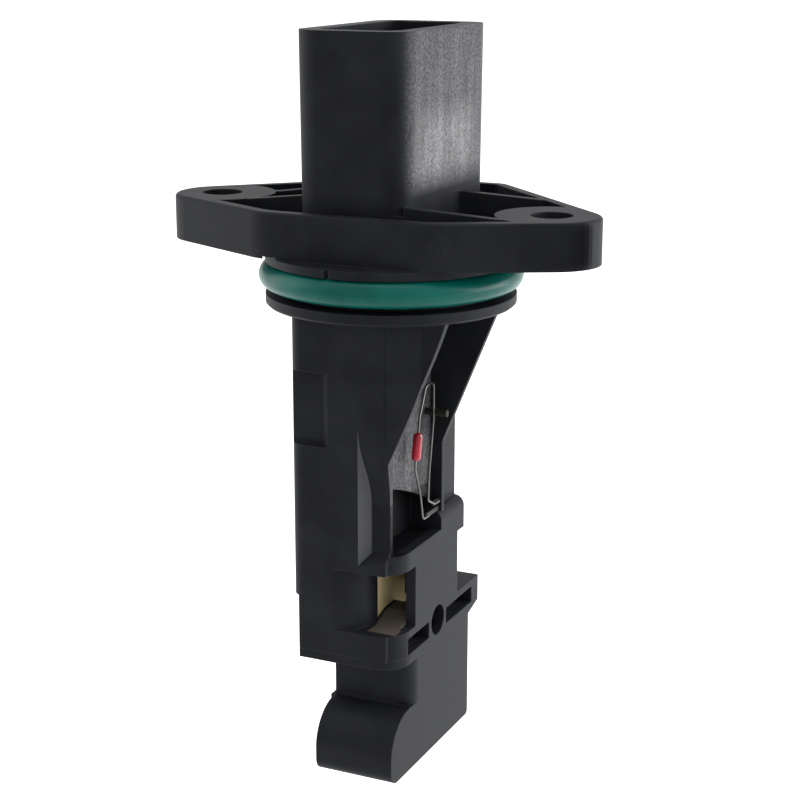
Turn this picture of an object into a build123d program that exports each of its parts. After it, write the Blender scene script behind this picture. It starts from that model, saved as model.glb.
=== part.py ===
from build123d import *
import os
from math import cos, radians, sin

# Plug-in mass airflow sensor, in millimetres.
# The origin is the centre of the round spigot on the flange's underside, the face that meets the duct.
# +Z points up to the plug, X runs along the line of the two screw holes, and the air flows along +Y.

# Gap between a part and its seat
fit = 0.05

# Flange
flange_height = 6.1
flange_shift = -1.6
hole_spacing = 48.1
hole_diameter = 5.5
end_radius = 6.5
front_edge_y = -13.3
front_edge_left = -10.8
front_edge_right = 9.2
front_corner_radius = 8.0
rear_edge_y = 24.7
rear_edge_half = 6.8
rear_corner_radius = 3.0
flange_rim = 1.8
flange_rib = 1.3
rib_rise = 1.1
flange_floor = 1.9
boss_radius = 7.3

# Spigot with the groove of the seal ring
spigot_radius = 16.75
spigot_length = 6.9
groove_top = -1.1
groove_bottom = -5.4
ring_inner_radius = 14.085
ring_cord = 3.53
relief_depth = 0.3
collar_notch_x = -1.1
collar_notch_width = 0.6

# Plug shroud
plug_width = 15.6
plug_length = 27.3
plug_centre_y = 4.1
plug_top = 28.9
plug_draft = 0.5
plug_wall = 2.3
plug_floor = 11.5
plug_wide_radius = 3.2
plug_tight_radius = 3.0

# Plug terminals
terminal_count = 5
terminal_pitch = 2.6
terminal_width = 1.4
terminal_thickness = 0.8
terminal_top = 22.5
terminal_bottom = -13.2

# Body: the electronics chamber opens to the left, the thermistor recess to the right
bore_radius = 16.35
body_left = -9.0
body_front = -12.8
body_rear = 12.8
body_bottom = -53.3
recess_floor_x = 5.2
side_plane_x = 6.95
body_corner = 2.0
foot_left = -7.75
foot_top = -45.7
foot_chamfer = 2.9

# Walls that taper from the spigot to the body on the right
gusset_wall = 0.8
gusset_foot_front = -25.9
gusset_foot_rear = -26.0
gusset_head_front_x = 12.5
gusset_head_rear_x = 14.85
gusset_bulge = 1.4
rear_wall_front = 1.4
corner_rear_y = 10.1

# Set-back of the front above the inlet
set_back_left = 1.2
set_back_depth = 1.5
set_back_start = -20.0
set_back_end = -33.0
set_back_slope = 42

# Notch at the front left corner
notch_right = -4.2
notch_depth = 1.0
notch_top = -14.5
notch_bottom = -24.4

# Deep pocket under the thermistor
pocket_front_wall = 2.2
pocket_floor_wall = 0.9
pocket_front_z = -29.6
pocket_middle = (-4.6, -31.7)
pocket_rear_z = -34.6

# Air channel through the body
channel_left = 1.4
channel_top = -41.1
channel_bottom = -48.6
channel_end = 2.4
mouth_radius = 4.2
mouth_wall = 1.3
sill = -49.7
ramp_foot_y = -9.0
ramp_head_y = -5.0
lip_top = -38.6
lip_crest = -36.0
lip_rear = 9.3
lip_bottom = -40.6
block_rear = 7.1
duct_front = -2.0

# Frame at the foot of the body
frame_rear = 14.83
frame_corner = 4.0
frame_bottom = -54.5
slot_top = -50.7
slot_bottom = -53.1
slot_ends = ((-9.4, -2.6), (3.2, 12.4))
slot_depth = 0.8

# Tip
tip_left = -4.35
tip_rear = 11.3
tip_front = -14.8
tip_neck_front = -8.7
tip_bottom = -70.1
nose_top = -61.0
nose_round = 5.5
nose_bottom_round = 2.0
neck_round = 2.5
ridge_top = -61.2
ridge_bottom = -62.9
ridge_height = 0.75
duct_bottom = -66.6
outlet_top = -59.6

# Cover plate of the air channel
cover_thickness = 1.4
cover_front = -9.4
window_edge = -7.1
vent_diameter = 4.3
vent_y = 0.35
vent_z = -51.46

# Electronics chamber
chamber_top = -9.5
chamber_bottom = -50.4
chamber_front = -9.3
chamber_rear = 10.6
ledge_x = -1.0
ledge_bottom = -14.0
lid_thickness = 1.4
lid_lap = 0.7
lid_border = 2.0
lid_recess = 0.4

# Base plate, board and chips
plate_thickness = 1.0
plate_top = -14.3
plate_bottom = -50.2
plate_front = -9.1
plate_rear = 10.4
board_thickness = 0.64
board_top = -15.4
board_bottom = -38.0
board_front = -8.8
board_rear = 10.0
chip_height = 1.5
capacitor_size = (1.2, 1.6, 3.2)
resistor_size = (0.5, 0.8, 1.6)
ribbon_width = 0.7
ribbon_thickness = 0.15

# Sensor holder in the channel
holder_front = -1.9
holder_rear = 1.7
holder_wall = 0.8
blade_gap = 1.6
blade_bottom = -47.6
flex_thickness = 0.15

# Thermistor in the side recess
wire_diameter = 0.32
bead_diameter = 1.25
bead_length = 3.8
bead_round = 0.5
bead_tilt = 11.5
bead_y = -6.28
bead_z = -24.75
leg_y = -0.95
post_z = -21.5
post_length = 3.2
post_radius = 0.5
hairpin_z = -17.1
tab_x = 6.25
tab_width = 0.6
tab_thickness = 0.3
tab_rear_z = -34.4
tab_front_z = -35.45
tab_depth = 0.9

# Places worked out from the sizes above
plug_centre_x = flange_shift
hole_left = flange_shift - hole_spacing / 2
hole_right = flange_shift + hole_spacing / 2
groove_radius = ring_inner_radius - fit
cover_inner_x = side_plane_x - cover_thickness
lid_inner_x = body_left + lid_thickness
plug_front = plug_centre_y - plug_length / 2
plug_left = plug_centre_x - plug_width / 2
plug_right = plug_centre_x + plug_width / 2
terminal_face_x = ledge_x - terminal_thickness
first_row = plug_centre_y - (terminal_count - 1) / 2 * terminal_pitch
terminal_rows = [first_row + k * terminal_pitch for k in range(terminal_count)]
wire_x = tab_x + tab_thickness + wire_diameter / 2
mouth_block_rear = body_front + mouth_radius + mouth_wall
plate_left = channel_left - plate_thickness
flange_ribs = (
    ((hole_right - 5.4, -5.6), (plug_right - 0.5, plug_front + 1.2)),
    ((hole_right - 6.1, 12.2), (plug_right - 0.5, plug_front + 18.0)),
    ((hole_left + 6.4, -3.4), (plug_left + 0.5, plug_front + 7.4)),
    ((hole_left + 6.6, 4.4), (plug_left + 0.5, plug_front + 18.5)),
)
board_face_x = plate_left - board_thickness

os.makedirs("parts", exist_ok=True)


def save(piece, name):
    """Label a finished piece and write its file."""
    piece.part.label = name
    export_step(piece.part, f"parts/{name}.step")


def box_between(low, high, mode=Mode.ADD):
    """A block from its lowest to its highest corner."""
    size = [top - bottom for bottom, top in zip(low, high)]
    with Locations(tuple(low)):
        Box(*size, align=(Align.MIN, Align.MIN, Align.MIN), mode=mode)


def flange_outline(inset=0):
    """Hull of the two screw hole ends and the rounded front and rear corners, drawn in by an inset."""
    front_round = front_corner_radius - inset
    rear_round = rear_corner_radius - inset
    with BuildSketch() as outline:
        with BuildLine():
            for x in (hole_left, hole_right):
                CenterArc((x, 0), end_radius - inset, 0, 360)
            for x in (front_edge_left, front_edge_right):
                CenterArc((x, front_edge_y + front_corner_radius), front_round, 0, 360)
            for x in (flange_shift - rear_edge_half, flange_shift + rear_edge_half):
                CenterArc((x, rear_edge_y - rear_corner_radius), rear_round, 0, 360)
        make_hull()
    return outline.sketch


def rib_outline(start, end):
    """A straight flange rib in plan, a little longer than its two ends."""
    with BuildSketch() as outline:
        with BuildLine(mode=Mode.PRIVATE):
            path = Line(start, end)
        middle = path @ 0.5
        with Locations(Location((middle.X, middle.Y, 0), (0, 0, path.tangent_angle_at(0.5)))):
            Rectangle(path.length + 3, flange_rib)
    return outline.sketch


def rib_crest(outer, inner):
    """The part of a flange rib that stands over the flange and rises toward the plug."""
    run = Vector(*inner) - Vector(*outer)
    upright = Plane(origin=(*outer, 0), x_dir=run, z_dir=run.cross(Vector(0, 0, 1)))
    with BuildSketch(upright) as outline:
        with BuildLine():
            Polyline(
                (0, flange_height - 0.5),
                (0, flange_height),
                (run.length, flange_height + rib_rise),
                (run.length, flange_height - 0.5),
                close=True,
            )
        make_face()
    return outline.sketch


def plug_outline(wall):
    """Rounded rectangle of the plug shroud, set in by a wall, with larger radii on the left."""
    with BuildSketch() as outline:
        with Locations((plug_centre_x, plug_centre_y)):
            Rectangle(plug_width - 2 * wall, plug_length - 2 * wall)
        fillet(outline.vertices().sort_by(Axis.X)[:2], plug_wide_radius - wall * 0.8)
        fillet(outline.vertices().sort_by(Axis.X)[-2:], plug_tight_radius - wall * 0.4)
    return outline.sketch


def foot_plan():
    """Plan of the body's foot: beveled left corner, round right corner, rear inside the bore."""
    with BuildSketch() as outline:
        with BuildLine():
            FilletPolyline(
                (foot_left, body_front),
                (side_plane_x, body_front),
                (side_plane_x, frame_rear),
                radius=frame_corner,
            )
            Polyline(
                (side_plane_x, frame_rear),
                (body_left, frame_rear),
                (body_left, body_front + foot_chamfer),
                (foot_left, body_front),
            )
        make_face()
        Circle(bore_radius, mode=Mode.INTERSECT)
    return outline.sketch


def foot_outline(left, rear):
    """The foot's plan between a left and a rear edge, without the seat of the cover."""
    with BuildSketch() as outline:
        add(foot_plan())
        with Locations((left, body_front)):
            Rectangle(
                side_plane_x - left, rear - body_front, align=(Align.MIN, Align.MIN), mode=Mode.INTERSECT
            )
        with Locations((cover_inner_x, cover_front)):
            Rectangle(
                cover_thickness, rear - cover_front, align=(Align.MIN, Align.MIN), mode=Mode.SUBTRACT
            )
    return outline.sketch


def tip_profile(plane):
    """Side profile of the tip, with the nose that points into the air stream."""
    with BuildSketch(plane) as outline:
        with BuildLine():
            FilletPolyline(
                (tip_rear, frame_bottom),
                (tip_rear, tip_bottom),
                (tip_front, tip_bottom),
                (tip_front, nose_top),
                (tip_neck_front, nose_top),
                (tip_neck_front, frame_bottom),
                radius=[0.6, nose_bottom_round, nose_round, 0.4],
            )
            Line((tip_neck_front, frame_bottom), (tip_rear, frame_bottom))
        make_face()
    return outline.sketch


def shell_outline(radius, front, rear):
    """Part of the bore's circle to the right of the recess floor, between two planes."""
    with BuildSketch() as outline:
        Circle(radius)
        with Locations((recess_floor_x, front)):
            Rectangle(bore_radius, rear - front, align=(Align.MIN, Align.MIN), mode=Mode.INTERSECT)
    return outline.sketch


def diagonal_outline(head_x, foot_x, foot_z, bulge, back):
    """All that lies outside the diagonal edge of a gusset, drawn on the plane behind it."""
    middle = ((head_x + foot_x) / 2 + bulge, (foot_z - spigot_length) / 2)
    with BuildSketch(Plane.XZ.offset(-back)) as outline:
        with BuildLine():
            Bezier((foot_x, foot_z), middle, (head_x, -spigot_length))
            Polyline(
                (head_x, -spigot_length),
                (2 * spigot_radius, -spigot_length),
                (2 * spigot_radius, foot_z - 1),
                (foot_x, foot_z - 1),
                (foot_x, foot_z),
            )
        make_face()
    return outline.sketch


# What the set-back of the front takes away: it slants in from the top and has sloping sides
with BuildPart() as set_back:
    with BuildSketch(Plane.XZ.offset(-body_front)):
        with BuildLine():
            Polyline(
                (set_back_left, set_back_start + 1),
                (bore_radius, set_back_start + 1),
                (bore_radius, lip_top + 1.5),
                (set_back_left, lip_top - 1.5),
                close=True,
            )
        make_face()
    extrude(amount=-set_back_depth, taper=set_back_slope)
    with BuildSketch(Plane.YZ):
        with BuildLine():
            Bezier(
                (body_front, set_back_start),
                (body_front, (set_back_start + set_back_end) / 2),
                (body_front + set_back_depth, (set_back_start + set_back_end) / 2),
                (body_front + set_back_depth, set_back_end),
            )
            Polyline(
                (body_front + set_back_depth, set_back_end),
                (body_front + set_back_depth, lip_top - 2),
                (body_front, lip_top - 2),
                (body_front, set_back_start),
            )
        make_face()
    extrude(amount=bore_radius, mode=Mode.INTERSECT)


# Housing: flange, plug shroud, spigot and body in one moulding
with BuildPart() as sensor_housing:
    # Flange with its pockets and ribs
    extrude(flange_outline(), amount=flange_height)
    fillet(edges().filter_by(GeomType.LINE).group_by(Axis.Z)[-1], 0.5)
    with BuildSketch(Plane.XY.offset(flange_floor)):
        add(flange_outline(flange_rim))
        with Locations((hole_left, 0), (hole_right, 0)):
            Circle(boss_radius, mode=Mode.SUBTRACT)
        for outer, inner in flange_ribs:
            add(rib_outline(outer, inner), mode=Mode.SUBTRACT)
    extrude(amount=flange_height, mode=Mode.SUBTRACT)
    for outer, inner in flange_ribs:
        extrude(rib_crest(outer, inner), amount=flange_rib / 2, both=True)
    extrude(plug_outline(0), amount=plug_top, taper=-plug_draft)
    with BuildSketch(Plane.XY.offset(plug_floor)):
        add(plug_outline(plug_wall))
    extrude(amount=plug_top, mode=Mode.SUBTRACT)
    with Locations((hole_left, 0, flange_height), (hole_right, 0, flange_height)):
        Hole(hole_diameter / 2, depth=flange_height)

    # Spigot with the ring groove
    with BuildSketch(Plane.XZ):
        with BuildLine():
            Polyline(
                (0, 0),
                (spigot_radius, 0),
                (spigot_radius, groove_top),
                (groove_radius, groove_top),
                (groove_radius, groove_bottom),
                (spigot_radius, groove_bottom),
                (spigot_radius, 0.3 - spigot_length),
                (spigot_radius - 0.3, -spigot_length),
                (0, -spigot_length),
                close=True,
            )
        make_face()
    revolve(axis=Axis.Z)

    # Relief in the flange's underside, wider than the seal ring
    with BuildSketch():
        Circle(ring_inner_radius + ring_cord + 0.3)
        Circle(spigot_radius, mode=Mode.SUBTRACT)
    extrude(amount=relief_depth, mode=Mode.SUBTRACT)
    box_between(
        (collar_notch_x - collar_notch_width / 2, -spigot_radius - 0.1, groove_top),
        (collar_notch_x + collar_notch_width / 2, -spigot_radius + 0.6, 0),
        mode=Mode.SUBTRACT,
    )

    # Main block of the body
    with BuildSketch(Plane.XY.offset(-spigot_length)):
        with BuildLine():
            FilletPolyline(
                (body_left, body_rear),
                (body_left, body_front),
                (recess_floor_x, body_front),
                (recess_floor_x, corner_rear_y),
                (recess_floor_x - 2.7, body_rear),
                radius=[body_corner, 0.3, 0.8],
            )
            Line((recess_floor_x - 2.7, body_rear), (body_left, body_rear))
        make_face()
    extrude(amount=spigot_length + body_bottom)

    # Front shell and rear wall that widen to the spigot
    with BuildSketch(Plane.XY.offset(gusset_foot_front)):
        add(shell_outline(bore_radius, body_front, rear_wall_front + gusset_wall))
        add(
            shell_outline(bore_radius - gusset_wall, body_front + gusset_wall, rear_wall_front),
            mode=Mode.SUBTRACT,
        )
    extrude(amount=-gusset_foot_front - spigot_length)
    front_side = diagonal_outline(
        gusset_head_front_x, recess_floor_x, gusset_foot_front, gusset_bulge, rear_wall_front - 1
    )
    extrude(front_side, amount=bore_radius + rear_wall_front, mode=Mode.SUBTRACT)
    rear_side = diagonal_outline(gusset_head_rear_x, side_plane_x, gusset_foot_rear, 0, bore_radius)
    extrude(rear_side, amount=bore_radius - rear_wall_front + 1, mode=Mode.SUBTRACT)

    # Rib at the rear of the recess
    box_between(
        (recess_floor_x, rear_wall_front, lip_crest),
        (side_plane_x, rear_wall_front + gusset_wall, gusset_foot_rear),
    )

    # Channel block and frame at the foot
    for left, rear, top in (
        (channel_left, block_rear, lip_top),
        (body_left, block_rear, foot_top),
        (body_left, frame_rear, sill),
    ):
        with BuildSketch(Plane.XY.offset(body_bottom)):
            add(foot_outline(left, rear))
        extrude(amount=top - body_bottom)
    with BuildSketch(Plane.XY.offset(body_bottom)):
        with BuildLine():
            Polyline(
                (foot_left, body_front),
                (body_left, body_front + foot_chamfer),
                (body_left - 1, body_front + foot_chamfer),
                (body_left - 1, body_front - 1),
                (foot_left, body_front - 1),
                close=True,
            )
        make_face()
    extrude(amount=foot_top - body_bottom, mode=Mode.SUBTRACT)
    with BuildSketch(Plane.XZ.offset(-rear_wall_front)):
        with BuildLine():
            Polyline(
                (recess_floor_x, lip_crest + cover_inner_x - recess_floor_x),
                (cover_inner_x, lip_crest),
                (cover_inner_x, lip_bottom),
                (recess_floor_x, lip_bottom),
                close=True,
            )
        make_face()
    extrude(amount=rear_wall_front - lip_rear)

    # Set-back of the front face above the inlet
    add(set_back.part, mode=Mode.SUBTRACT)

    # Deep pocket under the thermistor
    with BuildSketch(Plane.YZ.offset(recess_floor_x)):
        with BuildLine():
            pocket_front = body_front + pocket_front_wall
            roof = ThreePointArc(
                (pocket_front, pocket_front_z), pocket_middle, (rear_wall_front, pocket_rear_z)
            )
            Polyline(roof @ 1, (rear_wall_front, lip_top), (pocket_front, lip_top), roof @ 0)
        make_face()
    extrude(amount=channel_left + pocket_floor_wall - recess_floor_x, mode=Mode.SUBTRACT)

    # Notch at the front left corner
    with BuildSketch(Plane.XY.offset(notch_bottom)):
        with BuildLine():
            Polyline(
                (body_left - 1, body_front - notch_depth),
                (notch_right + 2 * notch_depth, body_front - notch_depth),
                (notch_right, body_front + notch_depth),
                (body_left - 1, body_front + notch_depth),
                close=True,
            )
        make_face()
    extrude(amount=notch_top - notch_bottom, mode=Mode.SUBTRACT)

    # Electronics chamber with the ledge of the terminals and the seat of its lid
    box_between(
        (body_left - 1, chamber_front, chamber_bottom),
        (channel_left, chamber_rear, chamber_top),
        mode=Mode.SUBTRACT,
    )
    box_between(
        (ledge_x, chamber_front, ledge_bottom),
        (channel_left, chamber_rear, chamber_top),
    )
    box_between(
        (body_left - 1, chamber_front - lid_lap, chamber_bottom - lid_lap),
        (lid_inner_x, chamber_rear + lid_lap, chamber_top + lid_lap),
        mode=Mode.SUBTRACT,
    )

    # Air channel, its rounded mouth, and the duct down to the tip
    box_between(
        (channel_left - mouth_radius - 0.8, chamber_front, chamber_bottom),
        (channel_left, mouth_block_rear, channel_top + 0.8),
    )
    with BuildSketch(Plane.XY.offset(sill)):
        with BuildLine():
            mouth_centre = (channel_left - mouth_radius, body_front + mouth_radius)
            mouth = CenterArc(mouth_centre, mouth_radius, -90, 90)
            Polyline(
                mouth @ 1,
                (channel_left, channel_end),
                (side_plane_x + 1, channel_end),
                (side_plane_x + 1, body_front - 1),
                (channel_left - mouth_radius, body_front - 1),
                mouth @ 0,
            )
        make_face()
    extrude(amount=channel_top - sill, mode=Mode.SUBTRACT)
    with BuildSketch(Plane.YZ.offset(cover_inner_x)):
        with BuildLine():
            Polyline(
                (ramp_foot_y, sill),
                (ramp_head_y, channel_bottom),
                (channel_end, channel_bottom),
                (channel_end, sill),
                close=True,
            )
        make_face()
    extrude(amount=channel_left - cover_inner_x)
    box_between(
        (channel_left, duct_front, body_bottom - 1),
        (side_plane_x, channel_end, channel_bottom),
        mode=Mode.SUBTRACT,
    )

    # Pockets in the frame behind the slots of the cover
    for slot_front, slot_back in slot_ends:
        box_between(
            (cover_inner_x - slot_depth, slot_front, slot_bottom),
            (side_plane_x, slot_back, slot_top),
            mode=Mode.SUBTRACT,
        )

    # Post that holds the long wire of the thermistor
    with BuildSketch(Plane.YZ.offset(recess_floor_x)):
        with Locations((leg_y + wire_diameter / 2 + fit + post_radius, post_z)):
            Circle(post_radius)
    extrude(amount=post_length)

    # Slots for the terminals and the thermistor tabs
    for row in terminal_rows:
        box_between(
            (terminal_face_x - fit, row - terminal_width / 2 - fit, ledge_bottom + 2),
            (ledge_x, row + terminal_width / 2 + fit, plug_floor + 1),
            mode=Mode.SUBTRACT,
        )
    for tab_z in (tab_rear_z, tab_front_z):
        box_between(
            (tab_x - fit, rear_wall_front - 1, tab_z - tab_width / 2 - fit),
            (tab_x + tab_thickness, rear_wall_front + tab_depth, tab_z + tab_width / 2 + fit),
            mode=Mode.SUBTRACT,
        )

save(sensor_housing, "sensor_housing")


# Seal ring
with BuildPart() as seal_ring:
    with Locations((0, 0, groove_top - fit - ring_cord / 2)):
        Torus(ring_inner_radius + ring_cord / 2, ring_cord / 2)

save(seal_ring, "seal_ring")


# Terminals: blades from the plug to the ledge in the electronics chamber
for number, row in enumerate(terminal_rows, start=1):
    with BuildPart() as terminal:
        box_between(
            (terminal_face_x, row - terminal_width / 2, terminal_bottom),
            (ledge_x, row + terminal_width / 2, terminal_top),
        )
        blade_top = terminal.faces().sort_by(Axis.Z)[-1].edges()
        chamfer(blade_top, 0.9 * terminal_thickness / 2, 0.3 * terminal_thickness)
    save(terminal, f"terminal_{number}")


# Tip with the bottom plate of the body and the duct to the outlet
with BuildPart() as channel_housing:
    with BuildSketch(Plane.XY.offset(frame_bottom)):
        add(foot_outline(body_left, frame_rear))
    extrude(amount=body_bottom - frame_bottom)
    extrude(tip_profile(Plane.YZ.offset(tip_left)), amount=side_plane_x - tip_left)
    with BuildSketch(Plane.XY.offset(nose_top)):
        with Locations((side_plane_x, tip_neck_front)):
            Rectangle(neck_round, neck_round, align=(Align.MAX, Align.MIN))
        with Locations((side_plane_x - neck_round, tip_neck_front + neck_round)):
            Circle(neck_round, mode=Mode.SUBTRACT)
    extrude(amount=frame_bottom - nose_top, mode=Mode.SUBTRACT)
    box_between(
        (tip_left - ridge_height, tip_neck_front, ridge_bottom),
        (tip_left, duct_front, ridge_top),
    )
    box_between(
        (channel_left, duct_front, duct_bottom),
        (cover_inner_x, channel_end, body_bottom),
        mode=Mode.SUBTRACT,
    )
    box_between(
        (tip_left - 1, duct_front, duct_bottom),
        (channel_left, channel_end, outlet_top),
        mode=Mode.SUBTRACT,
    )

save(channel_housing, "channel_housing")


# Cover plate of the channel: rounded top at the rear, window, slots and vent hole
with BuildPart() as channel_cover:
    with BuildSketch(Plane.YZ.offset(cover_inner_x)):
        with BuildLine():
            Polyline(
                (cover_front, lip_top),
                (rear_wall_front, lip_top),
                (rear_wall_front, lip_crest),
                (lip_rear, lip_crest),
                (lip_rear, lip_bottom),
                (block_rear, lip_bottom),
                (block_rear, sill),
                (frame_rear, sill),
                (frame_rear, frame_bottom + 1),
                (tip_rear, frame_bottom),
                (cover_front, frame_bottom),
                close=True,
            )
        make_face()
    extrude(amount=cover_thickness)
    with BuildSketch(Plane.XY.offset(frame_bottom)):
        add(foot_plan())
    extrude(amount=lip_top - frame_bottom + 4, mode=Mode.INTERSECT)
    with BuildSketch(Plane.XZ.offset(-rear_wall_front)):
        with Locations((cover_inner_x, lip_crest)):
            Rectangle(cover_thickness, cover_thickness, align=(Align.MIN, Align.MAX))
        with Locations((cover_inner_x, lip_crest - cover_thickness)):
            Circle(cover_thickness, mode=Mode.SUBTRACT)
    extrude(amount=rear_wall_front - lip_rear, mode=Mode.SUBTRACT)
    box_between(
        (cover_inner_x, cover_front, sill), (side_plane_x, window_edge, channel_top), mode=Mode.SUBTRACT
    )
    for slot_front, slot_back in slot_ends:
        box_between(
            (cover_inner_x, slot_front, slot_bottom),
            (side_plane_x, slot_back, slot_top),
            mode=Mode.SUBTRACT,
        )
    with BuildSketch(Plane.YZ.offset(cover_inner_x)):
        with Locations((vent_y, vent_z)):
            Circle(vent_diameter / 2)
    extrude(amount=cover_thickness, mode=Mode.SUBTRACT)

save(channel_cover, "channel_cover")


# Lid of the electronics chamber, flush with the left side
with BuildPart() as electronics_cover:
    box_between(
        (body_left, chamber_front - lid_lap + fit, chamber_bottom - lid_lap + fit),
        (lid_inner_x, chamber_rear + lid_lap - fit, chamber_top + lid_lap - fit),
    )
    chamfer(electronics_cover.faces().sort_by(Axis.X)[0].edges(), 0.3)
    box_between(
        (body_left - 0.1, chamber_front + lid_border, chamber_bottom + lid_border),
        (body_left + lid_recess, chamber_rear - lid_border, chamber_top - lid_border),
        mode=Mode.SUBTRACT,
    )

save(electronics_cover, "electronics_cover")


# Metal base plate on the chamber floor; it closes the left side of the air channel
with BuildPart() as base_plate:
    box_between((plate_left, plate_front, plate_bottom), (channel_left, plate_rear, plate_top))
    box_between(
        (plate_left, plate_front, plate_bottom),
        (channel_left, mouth_block_rear + fit, channel_top + 0.8 + fit),
        mode=Mode.SUBTRACT,
    )
    box_between(
        (plate_left, holder_front - fit, channel_top - 2 * fit - holder_wall),
        (channel_left, holder_rear + fit, channel_top),
        mode=Mode.SUBTRACT,
    )

save(base_plate, "base_plate")


# Ceramic board on the base plate
with BuildPart() as circuit_board:
    box_between((board_face_x, board_front, board_bottom), (plate_left, board_rear, board_top))

save(circuit_board, "circuit_board")


def on_board(y, z, size):
    """A block on the board's outer face, of a height, a width along Y and a length along Z."""
    height, width, length = size
    box_between(
        (board_face_x - height, y - width / 2, z - length / 2),
        (board_face_x, y + width / 2, z + length / 2),
    )


# Chip packages with beveled tops
for label, y, z, size in (
    ("signal_chip", 2.8, -27.5, (chip_height, 6.4, 8.0)),
    ("power_chip", -5.4, -23.5, (chip_height, 4.4, 5.0)),
):
    with BuildPart() as package:
        on_board(y, z, size)
        chamfer(package.faces().sort_by(Axis.X)[0].edges(), chip_height * 0.2)
    save(package, label)

with BuildPart() as board_capacitors:
    for y in (-7.6, -5.2, -2.8):
        on_board(y, -33.2, capacitor_size)

save(board_capacitors, "board_capacitors")

with BuildPart() as board_resistors:
    for y in (-7.6, -5.8, -4.0):
        on_board(y, -28.8, resistor_size)
    for z in (-21.6, -24.6, -27.6):
        on_board(8.4, z, resistor_size)

save(board_resistors, "board_resistors")


# Ribbons from the terminals to the board, one above the other along Y
with BuildPart() as bond_ribbons:
    for row in terminal_rows:
        with BuildSketch(Plane.XZ.offset(-row - ribbon_width / 2)):
            with BuildLine():
                Polyline(
                    (terminal_face_x, terminal_bottom + 1.6),
                    (terminal_face_x - ribbon_thickness, terminal_bottom + 1.6),
                    (terminal_face_x - ribbon_thickness, terminal_bottom - fit - ribbon_thickness),
                    (board_face_x - ribbon_thickness, board_top - 0.8),
                    (board_face_x - ribbon_thickness, board_top - 1.6),
                    (board_face_x, board_top - 1.6),
                    (board_face_x, board_top - 0.8 + ribbon_thickness),
                    (terminal_face_x, terminal_bottom - fit),
                    close=True,
                )
            make_face()
        extrude(amount=ribbon_width)

save(bond_ribbons, "bond_ribbons")


# Holder of the sensing chip: a foot on the base plate, a web through its slot and a blade in the channel
web_top = channel_top - fit
with BuildPart() as sensor_holder:
    box_between(
        (plate_left - holder_wall, holder_front - 0.6, blade_bottom),
        (plate_left, holder_rear + 0.6, web_top + 0.8),
    )
    box_between(
        (plate_left, holder_front, web_top - holder_wall),
        (channel_left + blade_gap + holder_wall, holder_rear, web_top),
    )
    box_between(
        (channel_left + blade_gap, holder_front, blade_bottom),
        (channel_left + blade_gap + holder_wall, holder_rear, web_top),
    )
    fillet(sensor_holder.edges().filter_by(Axis.X).group_by(Axis.Z)[0].sort_by(Axis.X)[-2:], 0.4)

save(sensor_holder, "sensor_holder")

with BuildPart() as sensing_chip:
    box_between(
        (channel_left + blade_gap + holder_wall, holder_front + 0.6, blade_bottom + 0.8),
        (channel_left + blade_gap + holder_wall + 0.3, holder_rear - 0.6, blade_bottom + 4.2),
    )

save(sensing_chip, "sensing_chip")

# Strip from the board over the base plate to the holder
with BuildPart() as sensor_flex:
    with BuildSketch(Plane.XZ.offset(-holder_rear + 0.4)):
        with BuildLine():
            Polyline(
                (board_face_x, board_bottom + 1.2),
                (board_face_x - flex_thickness, board_bottom + 1.2),
                (board_face_x - flex_thickness, board_bottom - flex_thickness),
                (plate_left - flex_thickness, board_bottom - 1.0),
                (plate_left - flex_thickness, web_top + 0.8),
                (plate_left, web_top + 0.8),
                (plate_left, board_bottom - 1.0 + flex_thickness),
                (board_face_x, board_bottom),
                close=True,
            )
        make_face()
    extrude(amount=holder_rear - holder_front - 0.8)

save(sensor_flex, "sensor_flex")


def wire(label, points, radii):
    """A round wire in straight runs and arcs through points given as (y, z), from bead to tab."""
    with BuildPart() as lead:
        with BuildLine() as path:
            FilletPolyline(*[(wire_x, y, z) for y, z in points], radius=radii)
        with BuildSketch(Plane(origin=path.line @ 0, z_dir=path.line % 0)):
            Circle(wire_diameter / 2)
        sweep()
    save(lead, label)


# Thermistor: glass bead, its two wires and the tabs that they are welded to
with BuildPart() as thermistor_bead:
    with Locations(Location((wire_x, bead_y, bead_z), (-bead_tilt, 0, 0))):
        Cylinder(bead_diameter / 2, bead_length)
    fillet(thermistor_bead.edges().filter_by(GeomType.CIRCLE), bead_round)

save(thermistor_bead, "thermistor_bead")


def along_bead(distance):
    """A point on the bead's axis, as (y, z), at a distance from its middle."""
    return bead_y + distance * sin(radians(bead_tilt)), bead_z + distance * cos(radians(bead_tilt))


wire(
    "thermistor_long_lead",
    (
        along_bead(bead_length / 2),
        along_bead(bead_length / 2 + 2.0),
        (-3.5, hairpin_z),
        (leg_y, hairpin_z),
        (leg_y, post_z - 0.5),
        (-2.35, -29.3),
        (-2.65, -33.3),
        (-0.4, tab_rear_z),
        (rear_wall_front - 0.4, tab_rear_z),
    ),
    [1.0, 1.0, 0.8, 2.0, 2.0, 0.5, 0.5],
)
wire(
    "thermistor_short_lead",
    (
        along_bead(-bead_length / 2),
        along_bead(-bead_length / 2 - 1.0),
        (-5.1, -32.0),
        (-4.3, tab_front_z),
        (-2.4, tab_front_z),
    ),
    [0.8, 2.0, 0.7],
)

for label, tab_z, tab_reach in (
    ("thermistor_tab_rear", tab_rear_z, 1.9),
    ("thermistor_tab_front", tab_front_z, 4.4),
):
    with BuildPart() as tab:
        box_between(
            (tab_x, rear_wall_front - tab_reach, tab_z - tab_width / 2),
            (tab_x + tab_thickness, rear_wall_front + tab_depth - fit, tab_z + tab_width / 2),
        )
    save(tab, label)
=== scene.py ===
"""Looks of a plug-in mass airflow sensor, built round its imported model."""

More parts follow.
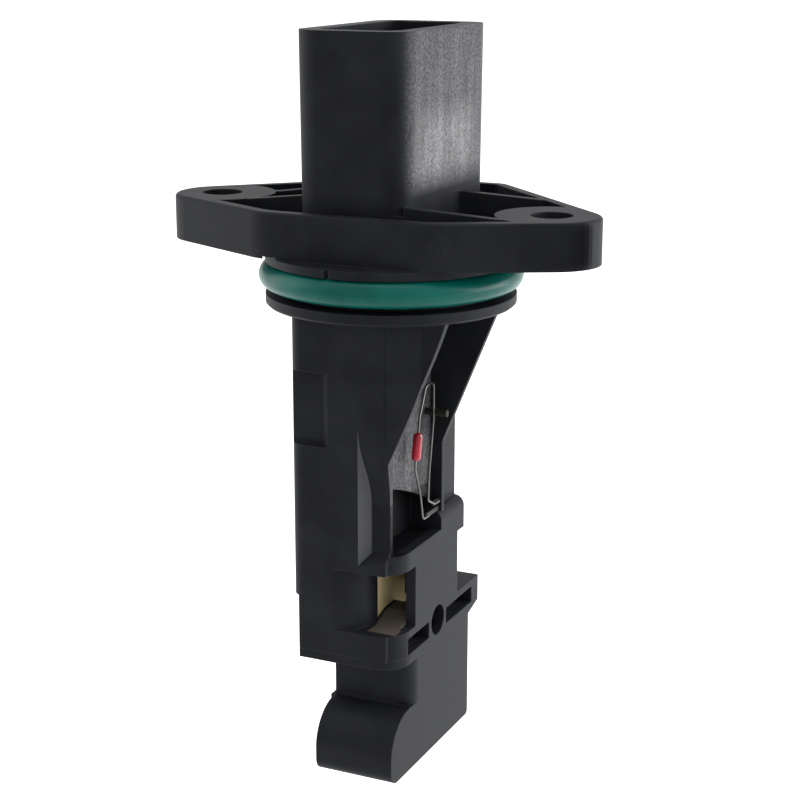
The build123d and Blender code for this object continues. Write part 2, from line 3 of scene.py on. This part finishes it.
import bpy
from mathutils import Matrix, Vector


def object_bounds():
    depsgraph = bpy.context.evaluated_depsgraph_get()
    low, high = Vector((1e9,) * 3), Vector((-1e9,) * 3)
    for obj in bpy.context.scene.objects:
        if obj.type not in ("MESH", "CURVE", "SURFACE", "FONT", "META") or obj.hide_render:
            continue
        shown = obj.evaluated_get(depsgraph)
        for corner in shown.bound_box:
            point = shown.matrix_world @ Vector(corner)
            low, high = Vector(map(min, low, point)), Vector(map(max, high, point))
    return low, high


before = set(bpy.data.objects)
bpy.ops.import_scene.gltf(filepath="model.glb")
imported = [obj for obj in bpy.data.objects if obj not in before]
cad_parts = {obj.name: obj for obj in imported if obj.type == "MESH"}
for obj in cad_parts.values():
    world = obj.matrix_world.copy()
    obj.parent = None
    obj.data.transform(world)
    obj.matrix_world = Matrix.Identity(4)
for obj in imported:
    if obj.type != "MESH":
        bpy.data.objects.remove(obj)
cad_low, cad_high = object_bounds()

bl_info = {
    "name": "Mass Airflow Sensor",
    "version": (1, 0, 0),
    "blender": (4, 5, 0),
    "location": "3D View > Sidebar > Airflow Sensor",
    "description": "Finishes a plug-in mass airflow sensor and lights it on a pale stage",
    "category": "Object",
}

MM = 0.001

# Ends of the tone ramp on the slow noise, which rarely leaves this range
TONE_LOW, TONE_HIGH = 0.3, 0.7

# Colours of the pale haze on the right side, partly fine dust and partly a painted sheen, and of
# the dust specks
DUST_AND_SHEEN_COLOUR = (0.62, 0.62, 0.63)
DUST_COLOUR = (0.035, 0.035, 0.037)

# A normal straight to the front, and the Y parts of a normal between which it takes over
FRONT_NORMAL = (0.0, -1.0, 0.0)
FRONT_STARTS, FRONT_FULL = -0.3, -0.55

# The Mix node's first, second and result sockets, which share their names between data types
MIX_SOCKETS = {"VECTOR": (4, 5, 1), "RGBA": (6, 7, 2)}


# Node tools


def new_node(tree, kind, **values):
    """Adds a node and sets its properties and the defaults of its inputs by name."""
    node = tree.nodes.new(kind)
    for name, value in values.items():
        if hasattr(node, name):
            setattr(node, name, value)
        else:
            node.inputs[name.replace("_", " ")].default_value = value
    return node


def maths(tree, operation, *values, clamp=False):
    """The result of a Math node on its values, each a socket or a number."""
    node = new_node(tree, "ShaderNodeMath", operation=operation, use_clamp=clamp)
    for socket, value in zip(node.inputs, values):
        if isinstance(value, float):
            socket.default_value = value
        else:
            tree.links.new(value, socket)
    return node.outputs["Value"]


def times(tree, first, second, clamp=False):
    return maths(tree, "MULTIPLY", first, second, clamp=clamp)


def larger(tree, first, second):
    return maths(tree, "MAXIMUM", first, second)


def inverse(tree, value):
    return maths(tree, "SUBTRACT", 1.0, value)


def mapped(tree, value, **ends):
    """A value moved from one range to another, each from 0 to 1 unless told otherwise."""
    node = new_node(tree, "ShaderNodeMapRange", **ends)
    tree.links.new(value, node.inputs["Value"])
    return node.outputs["Result"]


def mixed(tree, kind, factor, first, second):
    """Mixes a socket with a fixed second value by a mask, as colours or as vectors."""
    first_index, second_index, result_index = MIX_SOCKETS[kind]
    node = new_node(tree, "ShaderNodeMix", data_type=kind)
    tree.links.new(factor, node.inputs["Factor"])
    tree.links.new(first, node.inputs[first_index])
    node.inputs[second_index].default_value = second
    return node.outputs[result_index]


def mix_colour(tree, factor, first, second):
    return mixed(tree, "RGBA", factor, first, (*second, 1.0))


def noise(tree, place, scale, detail, roughness):
    """Noise from 0 to 1 over a place, with its scale from a socket."""
    node = new_node(tree, "ShaderNodeTexNoise", Detail=detail, Roughness=roughness)
    tree.links.new(place, node.inputs["Vector"])
    tree.links.new(scale, node.inputs["Scale"])
    return node.outputs["Fac"]


def part_of(tree, vector, axis):
    """The X, Y or Z part of a vector."""
    node = new_node(tree, "ShaderNodeSeparateXYZ")
    tree.links.new(vector, node.inputs["Vector"])
    return node.outputs[axis]


def true_normal(tree, axis):
    """How far a face points along an axis, from -1 to 1."""
    return part_of(tree, new_node(tree, "ShaderNodeNewGeometry").outputs["True Normal"], axis)


def object_coordinates(tree):
    return new_node(tree, "ShaderNodeTexCoord").outputs["Object"]


def new_group(name, inputs, outputs):
    """A shader node group with named float inputs and their defaults, and named outputs."""
    group = bpy.data.node_groups.new(name, "ShaderNodeTree")
    for label, default in inputs:
        socket = group.interface.new_socket(label, in_out="INPUT", socket_type="NodeSocketFloat")
        socket.default_value = default
    for label, kind in outputs:
        group.interface.new_socket(label, in_out="OUTPUT", socket_type=kind)
    return group, group.nodes.new("NodeGroupInput"), group.nodes.new("NodeGroupOutput")


# Shared effects


def mould_grain_group():
    """Fine spark-eroded grain of moulded plastic, with a slow waviness, as a height and a tone."""
    group, start, end = new_group(
        "mould_grain",
        [("Grain Scale", 2600.0), ("Wave Scale", 180.0), ("Wave Share", 0.25)],
        [("Height", "NodeSocketFloat"), ("Tone", "NodeSocketFloat")],
    )
    place = object_coordinates(group)
    grain = noise(group, place, start.outputs["Grain Scale"], detail=3.0, roughness=0.6)
    wave = noise(group, place, start.outputs["Wave Scale"], detail=2.0, roughness=0.5)
    mix = new_node(group, "ShaderNodeMix", data_type="FLOAT")
    group.links.new(start.outputs["Wave Share"], mix.inputs["Factor"])
    group.links.new(grain, mix.inputs["A"])
    group.links.new(wave, mix.inputs["B"])
    group.links.new(mix.outputs["Result"], end.inputs["Height"])
    group.links.new(wave, end.inputs["Tone"])
    return group


def soft_edge_group():
    """Rounded normals at hard edges and a mask that is bright along them."""
    group, start, end = new_group(
        "soft_edge",
        [("Radius", 0.0002), ("Sharpness", 6.0)],
        [("Normal", "NodeSocketVector"), ("Mask", "NodeSocketFloat")],
    )
    bevel = new_node(group, "ShaderNodeBevel", samples=6)
    geometry = new_node(group, "ShaderNodeNewGeometry")
    dot = new_node(group, "ShaderNodeVectorMath", operation="DOT_PRODUCT")
    group.links.new(start.outputs["Radius"], bevel.inputs["Radius"])
    group.links.new(bevel.outputs["Normal"], dot.inputs[0])
    group.links.new(geometry.outputs["Normal"], dot.inputs[1])
    bent = inverse(group, dot.outputs["Value"])
    group.links.new(bevel.outputs["Normal"], end.inputs["Normal"])
    group.links.new(times(group, bent, start.outputs["Sharpness"], clamp=True), end.inputs["Mask"])
    return group


def dust_group():
    """Specks of dust: a mask of small dots gathered in patches."""
    group, start, end = new_group(
        "dust",
        [
            ("Speck Scale", 2200.0), ("Speck Size", 0.18),
            ("Patch Scale", 90.0), ("Patch Cover", 0.5),
        ],
        [("Mask", "NodeSocketFloat")],
    )
    place = object_coordinates(group)
    specks = new_node(group, "ShaderNodeTexVoronoi", feature="F1", Randomness=1.0)
    group.links.new(place, specks.inputs["Vector"])
    group.links.new(start.outputs["Speck Scale"], specks.inputs["Scale"])
    near = maths(group, "LESS_THAN", specks.outputs["Distance"], start.outputs["Speck Size"])
    patch = noise(group, place, start.outputs["Patch Scale"], detail=4.0, roughness=0.6)
    over = maths(group, "GREATER_THAN", patch, start.outputs["Patch Cover"])
    group.links.new(times(group, near, over), end.inputs["Mask"])
    return group


def zone_group():
    """A mask that rises from 0 at the sides of a box to 1 inside it, with sizes in millimetres."""
    group, start, end = new_group(
        "zone",
        [
            ("Middle X", 0.0), ("Middle Y", 0.0), ("Middle Z", 0.0),
            ("Half X", 1.0), ("Half Y", 1.0), ("Half Z", 1.0), ("Softness", 0.5),
        ],
        [("Mask", "NodeSocketFloat")],
    )
    place = object_coordinates(group)
    masks = []
    for axis in "XYZ":
        along = times(group, part_of(group, place, axis), 1.0 / MM)
        away = maths(group, "SUBTRACT", along, start.outputs["Middle " + axis])
        distance = maths(group, "ABSOLUTE", away)
        inside = maths(group, "SUBTRACT", start.outputs["Half " + axis], distance)
        masks.append(maths(group, "DIVIDE", inside, start.outputs["Softness"], clamp=True))
    both = times(group, times(group, masks[0], masks[1]), masks[2])
    group.links.new(both, end.inputs["Mask"])
    return group


def dust_and_sheen_group():
    """A pale haze on the faces that point to the right, with upright streaks: partly fine dust,
    partly a painted sheen that grows as a face turns to the right.
    """
    group, start, end = new_group(
        "film",
        [("Amount", 0.5), ("Speckle Scale", 3000.0), ("Streak Scale", 330.0)],
        [("Mask", "NodeSocketFloat")],
    )
    place = object_coordinates(group)
    upright = new_node(group, "ShaderNodeMapping", Scale=(1.0, 1.0, 0.16))
    group.links.new(place, upright.inputs["Vector"])
    drawn = upright.outputs["Vector"]
    # Strongest on faces that point to the right: this part of the haze is a painted sheen, not
    # dust
    facing = maths(group, "POWER", larger(group, true_normal(group, "X"), 0.0), 2.0, clamp=True)
    speckle = noise(group, place, start.outputs["Speckle Scale"], detail=4.0, roughness=0.75)
    streak = noise(group, drawn, start.outputs["Streak Scale"], detail=3.0, roughness=0.6)
    fine = mapped(group, speckle, From_Min=0.34, From_Max=0.66)
    slow = mapped(group, streak, From_Min=0.3, From_Max=0.7, To_Min=0.55, To_Max=1.4)
    cover = times(group, times(group, fine, slow), facing)
    group.links.new(times(group, cover, start.outputs["Amount"], clamp=True), end.inputs["Mask"])
    return group


def place_group(tree, name, maker, **values):
    """Puts a shared node group into a material with its own values, and makes it if it's new."""
    node = tree.nodes.new("ShaderNodeGroup")
    node.node_tree = bpy.data.node_groups.get(name) or maker()
    for label, value in values.items():
        node.inputs[label.replace("_", " ")].default_value = value
    return node


# Materials


def fresh_material(name):
    """A new material, its node tree and its Principled shader."""
    material = bpy.data.materials.new(name)
    material.use_nodes = True
    tree = material.node_tree
    return material, tree, tree.nodes["Principled BSDF"]


def scaled_colour(colour, factor):
    return tuple(min(1.0, part * factor) for part in colour)


def tone_ramp(tree, tone, dark, light):
    """A two colour ramp driven by the grain's tone."""
    ramp = tree.nodes.new("ShaderNodeValToRGB")
    low, high = ramp.color_ramp.elements
    low.position, low.color = TONE_LOW, (*dark, 1.0)
    high.position, high.color = TONE_HIGH, (*light, 1.0)
    tree.links.new(tone, ramp.inputs["Fac"])
    return ramp.outputs["Color"]


def set_roughness(tree, shader, source, roughness, sway):
    """Lets the roughness sway with a noise."""
    gloss = mapped(tree, source, To_Min=roughness - sway, To_Max=roughness + sway)
    tree.links.new(gloss, shader.inputs["Roughness"])


def set_bump(tree, shader, height, strength, depth, normal=None):
    """Adds a fine bump, on top of another normal if there is one."""
    bump = new_node(tree, "ShaderNodeBump", Strength=strength, Distance=depth)
    tree.links.new(height, bump.inputs["Height"])
    if normal is not None:
        tree.links.new(normal, bump.inputs["Normal"])
    tree.links.new(bump.outputs["Normal"], shader.inputs["Normal"])


def zone_mask(tree, zone):
    """The mask of a box given as its middle, its half sizes and its softness, in millimetres."""
    middle, half, softness = zone
    box = place_group(
        tree, "zone", zone_group,
        Middle_X=middle[0], Middle_Y=middle[1], Middle_Z=middle[2],
        Half_X=half[0], Half_Y=half[1], Half_Z=half[2], Softness=softness,
    )
    return box.outputs["Mask"]


def dust_and_sheen_in_zone(tree, colour, amount, zone, speckle_scale):
    """Lays the pale haze of dust and painted sheen over a colour, inside one zone only."""
    film = place_group(tree, "film", dust_and_sheen_group, Amount=amount, Speckle_Scale=speckle_scale)
    mask = times(tree, film.outputs["Mask"], zone_mask(tree, zone))
    return mix_colour(tree, mask, colour, DUST_AND_SHEEN_COLOUR)


def painted_sheen_in_zone(tree, colour, share, zone, tint):
    """Paints a sheen into the colour: lightens the faces in one zone by how far they point to the
    right.
    """
    facing = larger(tree, true_normal(tree, "X"), 0.0)
    mask = times(tree, times(tree, facing, zone_mask(tree, zone)), share)
    return mix_colour(tree, mask, colour, tint)


def tint_and_painted_shading_in_zone(tree, colour, share, zone, tint):
    """Gives the faces in one zone a share of another colour; it serves for real tinted colours and
    for painted light and shade.
    """
    return mix_colour(tree, times(tree, zone_mask(tree, zone), share), colour, tint)


def calmed_normal(tree, normal, zone):
    """A steady normal on the front faces of a zone, so that they read as one, and its mask."""
    facing = mapped(tree, true_normal(tree, "Y"), From_Min=FRONT_STARTS, From_Max=FRONT_FULL)
    mask = times(tree, facing, zone_mask(tree, zone))
    unit = new_node(tree, "ShaderNodeVectorMath", operation="NORMALIZE")
    tree.links.new(mixed(tree, "VECTOR", mask, normal, FRONT_NORMAL), unit.inputs[0])
    return unit.outputs["Vector"], mask


def black_plastic(
    name, colour, grain_depth, roughness, dust_cover, dust_and_sheen_layers=(), painted_sheens=(), tints_and_painted_shading=(), calm_zones=()
):
    """Moulded plastic with grain, pale edges and specks, and in zones a haze of dust and painted
    sheen, a painted sheen, and tinted colours, some of them painted light and shade.
    """
    material, tree, shader = fresh_material(name)
    grain = place_group(tree, "mould_grain", mould_grain_group)
    edge = place_group(tree, "soft_edge", soft_edge_group, Radius=0.22 * MM)
    dust = place_group(tree, "dust", dust_group, Patch_Cover=dust_cover)
    tone = grain.outputs["Tone"]
    finish = tone_ramp(tree, tone, scaled_colour(colour, 0.75), scaled_colour(colour, 1.3))
    normal, wear = edge.outputs["Normal"], edge.outputs["Mask"]
    for zone in calm_zones:
        normal, calmed = calmed_normal(tree, normal, zone)
        wear = times(tree, wear, inverse(tree, calmed))
    finish = mix_colour(tree, wear, finish, scaled_colour(colour, 2.2))
    for amount, zone, speckle_scale in dust_and_sheen_layers:
        finish = dust_and_sheen_in_zone(tree, finish, amount, zone, speckle_scale)
    for share, zone, tint in painted_sheens:
        finish = painted_sheen_in_zone(tree, finish, share, zone, tint)
    for share, zone, tint in tints_and_painted_shading:
        finish = tint_and_painted_shading_in_zone(tree, finish, share, zone, tint)
    finish = mix_colour(tree, dust.outputs["Mask"], finish, DUST_COLOUR)
    tree.links.new(finish, shader.inputs["Base Color"])
    shader.inputs["Specular IOR Level"].default_value = 0.1
    set_roughness(tree, shader, tone, roughness, 0.06)
    set_bump(tree, shader, grain.outputs["Height"], 0.35, grain_depth, normal)
    return material


def simple_finish(
    name, colour, roughness, metallic=0.0, grain_scale=1500.0, spread=0.2, coat=0.0, specular=0.5
):
    """A finish with a little tone change and fine bump, for small pieces."""
    material, tree, shader = fresh_material(name)
    grain = place_group(tree, "mould_grain", mould_grain_group, Grain_Scale=grain_scale)
    dark, light = scaled_colour(colour, 1.0 - spread), scaled_colour(colour, 1.0 + spread)
    finish = tone_ramp(tree, grain.outputs["Tone"], dark, light)
    tree.links.new(finish, shader.inputs["Base Color"])
    shader.inputs["Metallic"].default_value = metallic
    shader.inputs["Coat Weight"].default_value = coat
    shader.inputs["Specular IOR Level"].default_value = specular
    set_roughness(tree, shader, grain.outputs["Height"], roughness, 0.05)
    set_bump(tree, shader, grain.outputs["Height"], 0.3, 0.02 * MM)
    return material


def finish_node(name, material):
    """Gives a carried-over piece its material."""
    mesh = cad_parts[name].data
    mesh.materials.clear()
    mesh.materials.append(material)


# Settings


class SensorColours(bpy.types.PropertyGroup):
    plastic: bpy.props.FloatVectorProperty(
        name="Plastic",
        description="Base colour of the moulded plastic",
        default=(0.0145, 0.0153, 0.0192),
        subtype="COLOR",
        min=0.0,
        max=1.0,
    )
    plastic_roughness: bpy.props.FloatProperty(
        name="Plastic Roughness",
        description="How matt the moulded plastic is",
        default=0.5,
        min=0.1,
        max=1.0,
        subtype="FACTOR",
    )
    seal: bpy.props.FloatVectorProperty(
        name="Seal Ring",
        description="Base colour of the seal ring",
        default=(0.0015, 0.112, 0.09),
        subtype="COLOR",
        min=0.0,
        max=1.0,
    )
    plate: bpy.props.FloatVectorProperty(
        name="Base Plate",
        description="Colour of the passivated base plate",
        default=(1.0, 0.78, 0.42),
        subtype="COLOR",
        min=0.0,
        max=1.0,
    )
    bead: bpy.props.FloatVectorProperty(
        name="Bead",
        description="Colour of the glass bead",
        default=(0.32, 0.005, 0.02),
        subtype="COLOR",
        min=0.0,
        max=1.0,
    )


class StageSettings(bpy.types.PropertyGroup):
    floor_drop: bpy.props.FloatProperty(
        name="Floor Drop",
        description="Height of the floor under the tip of the sensor",
        default=0.03,
        min=0.001,
        max=0.2,
        unit="LENGTH",
    )
    key_power: bpy.props.FloatProperty(
        name="Key Power",
        description="Power of the soft light on the right",
        default=3.5,
        min=0.0,
        unit="POWER",
    )
    fill_power: bpy.props.FloatProperty(
        name="Fill Power",
        description="Power of the soft light on the left",
        default=0.8,
        min=0.0,
        unit="POWER",
    )
    floor_glow: bpy.props.FloatProperty(
        name="Floor Glow",
        description="How much of the white background the floor adds by itself",
        default=0.85,
        min=0.0,
        max=1.0,
        subtype="FACTOR",
    )
    front_level: bpy.props.FloatProperty(
        name="Front Level",
        description="How bright the viewer's side of the studio is in reflections",
        default=0.17,
        min=0.0,
        max=1.0,
        subtype="FACTOR",
    )
    sky: bpy.props.FloatProperty(
        name="Surroundings",
        description="Strength of the even light from all round",
        default=0.6,
        min=0.0,
    )


# Operators


class SENSOR_OT_finish_mouldings(bpy.types.Operator):
    """Finish the housing, the channel parts and the lid as black moulded plastic"""

    bl_idname = "sensor.finish_mouldings"
    bl_label = "Finish Mouldings"

    def execute(self, context):
        colours = context.scene.sensor_colours
        tone = tuple(colours.plastic)
        rough = colours.plastic_roughness
        # Each zone has its middle, its half sizes and the softness of its sides, in millimetres
        plug_side = ((6.0, 5.0, 20.0), (2.0, 14.0, 12.0), 3.0)
        plug_side_low = ((6.0, 3.5, 14.0), (2.0, 11.0, 6.0), 4.0)
        recess_floor = ((5.2, -5.2, -21.0), (0.4, 6.8, 12.5), 0.4)
        set_back_wall = ((2.2, -12.4, -31.0), (1.5, 1.5, 9.5), 0.5)
        ramp = ((3.9, -6.6, -49.1), (2.2, 4.9, 0.95), 0.3)
        post = ((7.0, -0.3, -21.5), (1.6, 0.6, 0.6), 0.1)
        pocket = ((4.4, -5.1, -35.35), (2.5, 6.4, 3.85), 0.4)
        front_shell = ((9.0, -11.4, -16.8), (5.4, 2.4, 10.2), 0.6)
        flange_end = ((25.5, -4.0, 3.0), (5.5, 5.0, 3.4), 1.5)

        # Each haze has its amount, its zone and the scale of its speckles: it is partly fine dust
        # and partly a painted sheen on the faces that point to the right, heaviest low on the side
        # of the plug
        dust_and_sheen_layers = (
            (0.5, plug_side, 3000.0),
            (0.95, plug_side_low, 2600.0),
            (0.23, recess_floor, 3000.0),
        )
        # Each painted sheen and each tint has its share, its zone and its colour; the sheen is a
        # painted highlight along the set-back wall
        painted_sheens = ((0.85, set_back_wall, (0.15, 0.152, 0.16)),)
        # The ramp gets a brown tone made lighter as painted light, since it lies in shade; the
        # post gets its own brown; the pocket is painted near black as painted shade
        tints_and_painted_shading = (
            (0.9, ramp, (0.12, 0.105, 0.085)),
            (0.8, post, (0.03, 0.026, 0.018)),
            (0.75, pocket, (0.003, 0.003, 0.0035)),
        )
        calm_zones = (front_shell, flange_end)

        coarse, medium, fine = 0.04 * MM, 0.03 * MM, 0.02 * MM
        housing = black_plastic(
            "housing_plastic", tone, coarse, rough, 0.64, dust_and_sheen_layers, painted_sheens, tints_and_painted_shading, calm_zones
        )
        finish_node("sensor_housing", housing)
        finish_node("channel_housing", black_plastic("channel_plastic", tone, coarse, rough, 0.66))
        finish_node("channel_cover", black_plastic("cover_plastic", tone, coarse, rough, 0.64))
        lid = black_plastic("lid_plastic", tone, medium, rough - 0.05, 0.64)
        finish_node("electronics_cover", lid)
        holder = black_plastic("holder_plastic", tone, fine, rough - 0.1, 0.7)
        finish_node("sensor_holder", holder)
        return {"FINISHED"}


class SENSOR_OT_finish_seal_ring(bpy.types.Operator):
    """Finish the seal ring as smooth green rubber"""

    bl_idname = "sensor.finish_seal_ring"
    bl_label = "Finish Seal Ring"

    def execute(self, context):
        colour = tuple(context.scene.sensor_colours.seal)
        rubber = simple_finish("seal_rubber", colour, 0.3, grain_scale=900.0, specular=0.2)
        finish_node("seal_ring", rubber)
        return {"FINISHED"}


class SENSOR_OT_finish_metals(bpy.types.Operator):
    """Finish the base plate, terminals, ribbons, wires and tabs"""

    bl_idname = "sensor.finish_metals"
    bl_label = "Finish Metals"

    def execute(self, context):
        plate = tuple(context.scene.sensor_colours.plate)
        finish_node("base_plate", simple_finish("plate_metal", plate, 0.5, spread=0.05))
        tinned = simple_finish("tinned_metal", (0.62, 0.6, 0.56), 0.3, metallic=1.0, spread=0.1)
        tab = simple_finish("tab_metal", (0.02, 0.019, 0.017), 0.6, metallic=0.3, spread=0.3)
        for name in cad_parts:
            if name.startswith("terminal_"):
                finish_node(name, tinned)
            if name.startswith("thermistor_tab"):
                finish_node(name, tab)
        wire = simple_finish("wire_metal", (0.125, 0.123, 0.119), 0.35, metallic=1.0, spread=0.3)
        finish_node("thermistor_long_lead", wire)
        finish_node("thermistor_short_lead", wire)
        ribbon = simple_finish("ribbon_metal", (0.8, 0.8, 0.8), 0.3, metallic=1.0)
        finish_node("bond_ribbons", ribbon)
        return {"FINISHED"}


class SENSOR_OT_finish_bead(bpy.types.Operator):
    """Finish the thermistor bead as glossy red glass"""

    bl_idname = "sensor.finish_bead"
    bl_label = "Finish Bead"

    def execute(self, context):
        colour = tuple(context.scene.sensor_colours.bead)
        glass = simple_finish("bead_glass", colour, 0.12, grain_scale=700.0, spread=0.45, coat=0.2)
        finish_node("thermistor_bead", glass)
        return {"FINISHED"}


class SENSOR_OT_finish_electronics(bpy.types.Operator):
    """Finish the board and what is on it, the film strip and the sensing chip"""

    bl_idname = "sensor.finish_electronics"
    bl_label = "Finish Electronics"

    def execute(self, context):
        board = simple_finish("board_ceramic", (0.7, 0.69, 0.64), 0.6, spread=0.06)
        finish_node("circuit_board", board)
        resin = simple_finish("chip_resin", (0.02, 0.02, 0.022), 0.55)
        finish_node("signal_chip", resin)
        finish_node("power_chip", resin)
        for name, finish, colour, roughness in (
            ("board_capacitors", "capacitor_ceramic", (0.42, 0.29, 0.16), 0.4),
            ("board_resistors", "resistor_ceramic", (0.04, 0.04, 0.045), 0.25),
            ("sensor_flex", "flex_film", (0.45, 0.2, 0.03), 0.25),
            ("sensing_chip", "chip_silicon", (0.1, 0.12, 0.16), 0.15),
        ):
            finish_node(name, simple_finish(finish, colour, roughness))
        return {"FINISHED"}


# Stage

# The floor is dark towards the viewer from the first Y on and white from the second, in metres
FLOOR_DARK, FLOOR_WHITE = -0.3, 0.05

# The same for the surroundings, as the Y part of a direction
SKY_DARK, SKY_WHITE = -0.8, -0.3


def look_at(thing, target):
    thing.rotation_mode = "QUATERNION"
    thing.rotation_quaternion = (Vector(target) - thing.location).to_track_quat("-Z", "Y")


def soft_lamp(name, place, target, power, width, height):
    """Adds a rectangular softbox that points at a target."""
    lamp = bpy.data.lights.new(name, "AREA")
    lamp.shape = "RECTANGLE"
    lamp.size = width
    lamp.size_y = height
    lamp.energy = power
    thing = bpy.data.objects.new(name, lamp)
    bpy.context.scene.collection.objects.link(thing)
    thing.location = place
    look_at(thing, target)


def shows_background(tree, place, dark, white, front_level):
    """The background's strength: 1 for rays that look at it or pass through glass to it.

    In reflections it is 1 too, and falls to front_level towards the viewer's side of the studio.
    """
    path = new_node(tree, "ShaderNodeLightPath")
    level = mapped(
        tree, part_of(tree, place, "Y"),
        interpolation_type="SMOOTHSTEP", From_Min=dark, From_Max=white, To_Min=front_level,
    )
    seen = larger(tree, path.outputs["Is Camera Ray"], path.outputs["Is Transmission Ray"])
    return larger(tree, seen, times(tree, path.outputs["Is Glossy Ray"], level))


class SENSOR_OT_set_stage(bpy.types.Operator):
    """Set the pale floor, the soft lamps, the white surroundings and the camera"""

    bl_idname = "sensor.set_stage"
    bl_label = "Set Stage"

    def execute(self, context):
        stage = context.scene.sensor_stage
        level = cad_low.z - stage.floor_drop
        bpy.ops.object.select_all(action="DESELECT")
        bpy.ops.mesh.primitive_plane_add(size=6.0, location=(0.0, 0.0, level))
        floor = context.active_object
        floor.name = "floor"
        bpy.ops.object.transform_apply(location=True, rotation=False, scale=False)
        material, tree, shader = fresh_material("pale_floor")
        shader.inputs["Base Color"].default_value = (0.8, 0.8, 0.8, 1.0)
        shader.inputs["Roughness"].default_value = 0.9
        shader.inputs["Specular IOR Level"].default_value = 0.0
        place = object_coordinates(tree)
        shown = shows_background(tree, place, FLOOR_DARK, FLOOR_WHITE, stage.front_level)
        shader.inputs["Emission Color"].default_value = (1.0, 1.0, 1.0, 1.0)
        tree.links.new(times(tree, shown, stage.floor_glow), shader.inputs["Emission Strength"])
        floor.data.materials.append(material)

        world = bpy.data.worlds.new("studio")
        context.scene.world = world
        world.use_nodes = True
        sky = world.node_tree
        background = sky.nodes["Background"]
        background.inputs["Color"].default_value = (1.0, 1.0, 1.0, 1.0)
        direction = new_node(sky, "ShaderNodeTexCoord").outputs["Generated"]
        shown = shows_background(sky, direction, SKY_DARK, SKY_WHITE, stage.front_level)
        sky.links.new(mapped(sky, shown, To_Min=stage.sky), background.inputs["Strength"])

        centre = (0.0, 0.0, -0.02)
        for name, place, power, width, height in (
            ("key_light", (0.5, 0.25, 0.12), stage.key_power, 0.5, 0.5),
            ("left_light", (-0.5, -0.1, 0.1), stage.fill_power, 0.4, 0.5),
            ("top_light", (0.0, 0.1, 0.6), stage.fill_power, 0.5, 0.5),
        ):
            soft_lamp(name, place, centre, power, width, height)

        camera = bpy.data.cameras.new("camera")
        camera.sensor_width = 36.0
        camera.lens = 79.53
        camera.shift_x = 0.0109
        camera.shift_y = -0.0036
        camera.clip_start = 0.005
        camera.clip_end = 20.0
        eye = bpy.data.objects.new("camera", camera)
        context.scene.collection.objects.link(eye)
        eye.location = (98.86 * MM, -209.43 * MM, 41.36 * MM)
        look_at(eye, (0.0, 0.0, -20.25 * MM))
        context.scene.camera = eye
        context.scene.view_settings.view_transform = "Standard"
        return {"FINISHED"}


class SENSOR_PT_panel(bpy.types.Panel):
    """Lists the steps in the sidebar"""

    bl_idname = "SENSOR_PT_panel"
    bl_label = "Airflow Sensor"
    bl_space_type = "VIEW_3D"
    bl_region_type = "UI"
    bl_category = "Airflow Sensor"

    def draw(self, context):
        colours = context.scene.sensor_colours
        for name in ("plastic", "plastic_roughness", "seal", "plate", "bead"):
            self.layout.prop(colours, name)
        stage = context.scene.sensor_stage
        for name in ("floor_drop", "key_power", "fill_power", "floor_glow", "front_level", "sky"):
            self.layout.prop(stage, name)
        for step in steps:
            self.layout.operator(step.bl_idname)


settings = (SensorColours, StageSettings)
steps = (
    SENSOR_OT_finish_mouldings,
    SENSOR_OT_finish_seal_ring,
    SENSOR_OT_finish_metals,
    SENSOR_OT_finish_bead,
    SENSOR_OT_finish_electronics,
    SENSOR_OT_set_stage,
)


def register():
    for item in (*settings, *steps, SENSOR_PT_panel):
        bpy.utils.register_class(item)
    bpy.types.Scene.sensor_colours = bpy.props.PointerProperty(type=SensorColours)
    bpy.types.Scene.sensor_stage = bpy.props.PointerProperty(type=StageSettings)


def unregister():
    del bpy.types.Scene.sensor_stage
    del bpy.types.Scene.sensor_colours
    for item in reversed((*settings, *steps, SENSOR_PT_panel)):
        bpy.utils.unregister_class(item)


def main():
    register()
    bpy.ops.sensor.finish_mouldings()
    bpy.ops.sensor.finish_seal_ring()
    bpy.ops.sensor.finish_metals()
    bpy.ops.sensor.finish_bead()
    bpy.ops.sensor.finish_electronics()
    bpy.ops.sensor.set_stage()


if __name__ == "__main__":
    main()
